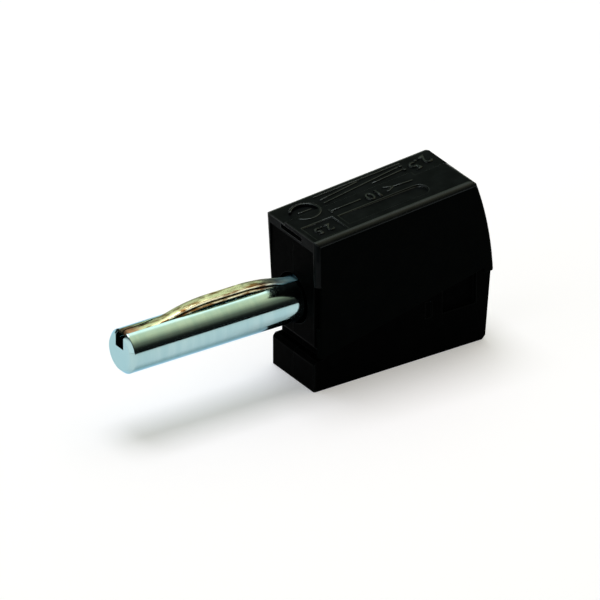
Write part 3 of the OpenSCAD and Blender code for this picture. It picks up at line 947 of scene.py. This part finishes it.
# The blue specular tint darkens the pin's grazing edges and turns them blue: a painted reflection.
bright_nickel.node_tree.nodes["Principled BSDF"].inputs["Specular Tint"].default_value = NICKEL_TINT
hand_over(pin, "slotted_pin", [bright_nickel], "housing", ["plug_pin"])

# %% [markdown]
# ## The contact leaf
# The leaf is what makes a banana plug hold: one bronze strip, folded back on itself at the tip and bowed
# out of the slot, so it presses against the socket. Its path is drawn with the pen, along the upper
# layer, round the fold and back below, and then pulled to the strip's width.

# %% Bend the leaf
LEAF_T = 0.26
LAYER_GAP = 0.14
STACK = 2 * LEAF_T + LAYER_GAP
BEND_R = 14.5
CREST_TOP = 10.49
END_TOP = 9.50
BEND_DEG = math.degrees(math.acos(1 - (CREST_TOP - END_TOP) / 2 / BEND_R))
BEND_REACH = BEND_R * math.sin(math.radians(BEND_DEG))
CREST_HALF = 1.6
CREST_X = -6.97
BOW_END = CREST_HALF + 2 * BEND_REACH
BEND_STEPS = 8
FOLD_X = -16.58
LEAF_ROOT = 1.0
LEAF_HALF = 0.48


def bowed_layer(pen, depth, heading):
    """Walks along one layer's face: heading 1 goes from the fold to the root, -1 comes back."""
    high, low = CREST_TOP - depth - BEND_R, END_TOP - depth + BEND_R
    pen.arc(CREST_X - heading * BOW_END, low, -heading * BEND_DEG, BEND_STEPS)
    pen.arc(CREST_X - heading * CREST_HALF, high, heading * BEND_DEG, BEND_STEPS)
    pen.line(CREST_X + heading * CREST_HALF, CREST_TOP - depth)
    pen.arc(CREST_X + heading * CREST_HALF, high, heading * BEND_DEG, BEND_STEPS)
    pen.arc(CREST_X + heading * BOW_END, low, -heading * BEND_DEG, BEND_STEPS)


leaf_pen = Pen(CREST_X + BOW_END, END_TOP, y=-LEAF_HALF)
bowed_layer(leaf_pen, 0, -1)
leaf_pen.line(FOLD_X, END_TOP)
leaf_pen.arc(FOLD_X, END_TOP - STACK / 2, -180, 10)
leaf_pen.line(CREST_X - BOW_END, END_TOP - STACK)
bowed_layer(leaf_pen, STACK, 1)
leaf = leaf_pen.bm
widen(leaf, 2 * LEAF_HALF)
bmesh.ops.remove_doubles(leaf, verts=leaf.verts, dist=0.0001)
cut_away(leaf, (LEAF_ROOT, 0, 0), (1, 0, 0))
bmesh.ops.recalc_face_normals(leaf, faces=leaf.faces)
if max(leaf.faces, key=lambda f: f.calc_center_median().z).normal.z < 0:
    bmesh.ops.reverse_faces(leaf, faces=leaf.faces)
print("leaf path:", len(leaf.verts) // 2, "stations,", round(BEND_DEG, 2), "degrees a bend")

# %% [markdown]
# The strip gets its thickness from solidify, which keeps it even round every bend. Between the two layers
# the bronze looks dark, since little light gets in, so the inner faces are marked here for a finish of
# their own, a near-black bronze that is painted shade.

# %% Give the leaf its wall
INNER = 2
LEAF_EDGE = 0.05
outer_side = set(leaf.faces)
bmesh.ops.solidify(leaf, geom=list(leaf.faces), thickness=LEAF_T)
bmesh.ops.recalc_face_normals(leaf, faces=leaf.faces)
for face in leaf.faces:
    if face not in outer_side and abs(face.normal.y) < 0.5:
        face.material_index = INNER
print("softened", soften(leaf, LEAF_EDGE, 2, 40), "edges of the leaf")
print("it lies from z =", round(min(v.co.z for v in leaf.verts), 3),
      "to", round(max(v.co.z for v in leaf.verts), 3))

# %% [markdown]
# The bronze is bright on the bow. In the photograph it looks bluish and dull towards the root, near the
# panel, and brown at the fold. Two runs of colour along x show that.

# %% Finish the leaf
ROOT_RUN = (-0.0045, 0.0002)
FOLD_RUN = (-0.0152, -0.0168)


def tint_towards(finish, reach, colour, roughness):
    """Lets the finish run into another colour and roughness along x, over a reach in metres."""
    nodes, links = finish.node_tree.nodes, finish.node_tree.links
    base = nodes["Principled BSDF"].inputs["Base Color"]
    rough = nodes["Principled BSDF"].inputs["Roughness"]
    along = nodes.new("ShaderNodeSeparateXYZ")
    links.new(nodes.new("ShaderNodeTexCoord").outputs["Object"], along.inputs[0])
    share = map_range(nodes, links, along.outputs["X"], reach, curve="SMOOTHSTEP")
    links.new(mix(nodes, links, share, base.links[0].from_socket, (*colour, 1)), base)
    links.new(mix(nodes, links, share, rough.links[0].from_socket, roughness, kind="FLOAT"), rough)


bronze_tones = ((0.26, 0.13, 0.04), (0.95, 0.89, 0.60))
leaf_bronze = metal("leaf_bronze", bronze_tones, (0.40, 0.57), (0.18, 0.32), (0.4, 1.5, 1.5), 11000, 0.25)
# The bluish, rougher run towards the root is a painted reflection: it lights the root, which lies in the
# panel's shade.
tint_towards(leaf_bronze, ROOT_RUN, (0.32, 0.66, 0.80), 0.60)
tint_towards(leaf_bronze, FOLD_RUN, (0.42, 0.24, 0.14), 0.55)
# The near-black bronze of the inner faces is painted shade for the gap between the layers.
gap_shade_tones = ((0.03, 0.018, 0.010), (0.10, 0.06, 0.03))
leaf_gap_shade = metal("leaf_gap_shade", gap_shade_tones, (0.35, 0.65), (0.45, 0.60), (1, 1, 1), 2600, 0.3)
leaf_finishes = [leaf_bronze, leaf_bronze, leaf_gap_shade]
leaf_piece = hand_over(leaf, "bowed_leaf", leaf_finishes, "housing", ["contact_leaf"])
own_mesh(leaf_piece)

# %% [markdown]
# ## Bar and clamp
# Inside the carrier a tinned bar carries the current from the pin to the clamp. Its solid is right as it
# is, so it keeps its mesh and only gets a finish.

# %% Finish the bar
tin_tones = ((0.60, 0.58, 0.54), (0.74, 0.72, 0.68))
soft_tin = metal("soft_tin", tin_tones, (0.3, 0.7), (0.26, 0.40), (1, 1, 1), 2200, 0.3)
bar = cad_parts["current_bar"]
bar.data.materials.clear()
bar.data.materials.append(soft_tin)
print("bar finished in", soft_tin.name)

# %% [markdown]
# The clamp is one bent strip of spring steel that pulls the conductor up against the bar. Its lower leg
# stays on the bar while its cage swings down about the round bend, so it is made in two pieces: one rides
# with the housing and one with the clamp, and they overlap inside the bend. The cage is a drawn path like
# the leaf, pulled to a strip, thickened, and cut for its window.

# %% Bend the clamp's cage
CLAMP_T = 0.5
CLAMP_HALF = 1.85
CLAMP_EDGE = 0.05
LOOP = (6.0, 7.9)
LOOP_R = 1.6
BEND = (10.92, 9.033)
CAGE_BEND_R = 0.9
LEG_RISE_DEG = 5
LEG_RISE = math.radians(LEG_RISE_DEG)
CAGE_OUT = BEND[0] + CAGE_BEND_R
CAGE_LOW = 4.55
WINDOW = ((CAGE_OUT - 1, -1.35, 5.35), (CAGE_OUT + 1, 1.35, 8.83))
OPEN_DEG = 20
OPEN = math.radians(OPEN_DEG)
steel_tones = ((0.38, 0.38, 0.39), (0.52, 0.53, 0.54))
spring_steel = metal("spring_steel", steel_tones, (0.3, 0.7), (0.24, 0.36), (1, 6, 1), 1800, 0.2)

cage_pen = Pen(LOOP[0] + LOOP_R * math.sin(OPEN), LOOP[1] - LOOP_R * math.cos(OPEN), -CLAMP_HALF)
cage_pen.arc(*LOOP, 180 + OPEN_DEG - LEG_RISE_DEG, 28)
cage_pen.line(BEND[0] - CAGE_BEND_R * math.sin(LEG_RISE), BEND[1] + CAGE_BEND_R * math.cos(LEG_RISE))
cage_pen.arc(*BEND, 90 + LEG_RISE_DEG, 8)
cage_pen.line(CAGE_OUT, CAGE_LOW)
cage = cage_pen.bm
widen(cage, 2 * CLAMP_HALF)
bmesh.ops.recalc_face_normals(cage, faces=cage.faces)
if max(cage.faces, key=lambda f: f.calc_center_median().x).normal.x < 0:
    bmesh.ops.reverse_faces(cage, faces=cage.faces)
bmesh.ops.solidify(cage, geom=list(cage.faces), thickness=CLAMP_T)
bmesh.ops.recalc_face_normals(cage, faces=cage.faces)
cage = carve(cage, block(*WINDOW))
soften(cage, CLAMP_EDGE)
hand_over(cage, "clamp_cage", [spring_steel], "clamp", ["clamp_spring"])

# %% [markdown]
# The lower leg lies flat on the bar, and its narrower tongue reaches through the cage's window. Both are
# plain boxes, joined into one piece before the edges are softened.

# %% Lay the clamp's lower leg
BAR_TOP = 6.3
LEG_TOP = BAR_TOP + CLAMP_T
TONGUE_HALF = 1.2
CAGE_IN = CAGE_OUT - CLAMP_T
leg = block((LOOP[0] - 0.1, -CLAMP_HALF, BAR_TOP), (CAGE_IN - 0.8, CLAMP_HALF, LEG_TOP))
tongue = block((CAGE_IN - 1.3, -TONGUE_HALF, BAR_TOP), (CAGE_OUT + 0.6, TONGUE_HALF, LEG_TOP))
leg = carve(leg, tongue, "UNION")
soften(leg, CLAMP_EDGE)
hand_over(leg, "clamp_lower_leg", [spring_steel], "housing", ["clamp_spring"])

# %% [markdown]
# ## Raised marks on the top
# The top of the hood carries thin raised marks: an open ring with a bar for the conductor, a dimension
# line with an arrow, a few guide lines, and plain size numbers. They are drawn flat, as boxes and as
# small rectangles spun round a centre, and then laid on the slope. All are sunk a little, so no gap shows
# below them.

# %% Draw the marks flat
MARK_RISE = 0.09
SUNK = 0.05
LINE = 0.18
BAR_LINE = 0.22
ARROW_LINE = 0.24
DOT_LINE = 0.25
DOT_RISE = 0.14
MARK_EDGE = 0.045


def ridge(bm, start, end, width, base=0, rise=MARK_RISE):
    """A straight raised line between two points of the top."""
    start, end = Vector(start), Vector(end)
    run = end - start
    place = Matrix.Translation(((start.x + end.x) / 2, (start.y + end.y) / 2, base + (rise - SUNK) / 2))
    heading = Matrix.Rotation(math.atan2(run.y, run.x), 4, "Z")
    size = Matrix.Diagonal((run.length, width, rise + SUNK, 1))
    bmesh.ops.create_cube(bm, size=1, matrix=place @ heading @ size)


def bow(bm, centre, radius, start, sweep, width, rise):
    """A raised line along part of a circle, angles in degrees."""
    half = width / 2
    corners = [
        bm.verts.new((centre[0] + radius + across, centre[1], z))
        for across, z in ((-half, -SUNK), (half, -SUNK), (half, rise), (-half, rise))
    ]
    section = bm.faces.new(corners)
    heading = Matrix.Rotation(math.radians(start), 3, "Z")
    bmesh.ops.rotate(bm, cent=(*centre, 0), matrix=heading, verts=corners)
    bmesh.ops.spin(
        bm, geom=[section, *section.edges, *corners], cent=(*centre, 0), axis=(0, 0, 1),
        angle=math.radians(sweep), steps=max(6, round(abs(sweep) / 7)),
    )


def shine_walls(bm):
    """Gives the flat tops of the marks the first finish and their walls and rounds the second, glossier
    one.
    Both are lighter blacks, a painted highlight.
    """
    for face in bm.faces:
        face.material_index = 0 if face.normal.z > 0.97 else 1


marks = bmesh.new()
bow(marks, (2.13, 1.3), 1.3, 212, 296, BAR_LINE, RAISED + 0.06)
ridge(marks, (1.6, 1.72), (3.0, 1.68), BAR_LINE)
ridge(marks, (4.1, 3.1), (13.0, 3.1), LINE)
ridge(marks, (4.3, 2.35), (8.5, 2.9), LINE)
ridge(marks, (4.3, 1.75), (12.6, 2.7), LINE)
ridge(marks, (9.3, 1.85), (12.7, 2.1), LINE)
ridge(marks, (12.75, 2.5), (12.75, 2.85), DOT_LINE, 0, DOT_RISE)
ridge(marks, (12.75, 1.8), (12.75, 2.15), DOT_LINE, 0, DOT_RISE)
ridge(marks, (3.8, -0.1), (6.9, -0.1), LINE, RAISED)
ridge(marks, (3.8, -0.45), (3.8, 0.25), LINE, RAISED)
ridge(marks, (9.4, 0.35), (10.2, -0.1), ARROW_LINE, RAISED)
ridge(marks, (9.4, -0.5), (10.2, -0.1), ARROW_LINE, RAISED)
ridge(marks, (10.2, -0.1), (12.1, -0.28), LINE, RAISED)
bmesh.ops.recalc_face_normals(marks, faces=marks.faces)
soften(marks, MARK_EDGE, 2, 40, where=lambda e: middle(e).z > 0)
shine_walls(marks)
lay_on_top(marks)
# The lighter blacks of the marks paint a highlight on them, beside their real gloss.
hand_over(marks, "raised_marks", [hood_rim_lit, mark_gloss_and_sheen], "housing")

# %% [markdown]
# Such numbers usually give the conductor's size and the length to strip. A text curve already has the
# shape of the numerals, so each is set as text, thickened a little, made a mesh and laid on the top like
# the marks.

# %% Set the numbers
STROKE_OFFSET = 0.03


def numbers(bm, words, size, at, base, degrees):
    """Plain raised numerals, turned as on the real hood."""
    curve = bpy.data.curves.new("numbers", "FONT")
    curve.body = words
    curve.size = size
    curve.offset = STROKE_OFFSET
    curve.extrude = (MARK_RISE + SUNK) / 2
    curve.align_x = "CENTER"
    curve.align_y = "CENTER"
    lettering = put_in_scene("numbers", curve)
    drawn = lettering.evaluated_get(bpy.context.evaluated_depsgraph_get())
    shape = bpy.data.meshes.new_from_object(drawn)
    bpy.data.curves.remove(curve)
    before = set(bm.verts)
    bm.from_mesh(shape)
    bpy.data.meshes.remove(shape)
    added = [v for v in bm.verts if v not in before]
    bmesh.ops.remove_doubles(bm, verts=added, dist=0.0001)
    added = [v for v in bm.verts if v not in before]
    turn(bm, degrees, "Z", added)
    bmesh.ops.translate(bm, vec=(*at, base + (MARK_RISE - SUNK) / 2), verts=added)


figures = bmesh.new()
numbers(figures, "10", 1.7, (8.15, -0.2), RAISED, 180)
numbers(figures, "2.5", 1.5, (1.8, -2.0), RAISED - RECESS, 180)
numbers(figures, "2.5", 1.9, (14.4, 2.15), 0, 195)
shine_walls(figures)
lay_on_top(figures)
# The numerals take lighter blacks too, a painted highlight beside their real gloss.
hand_over(figures, "size_numbers", [hood_sheen, mark_gloss_and_sheen], "housing")
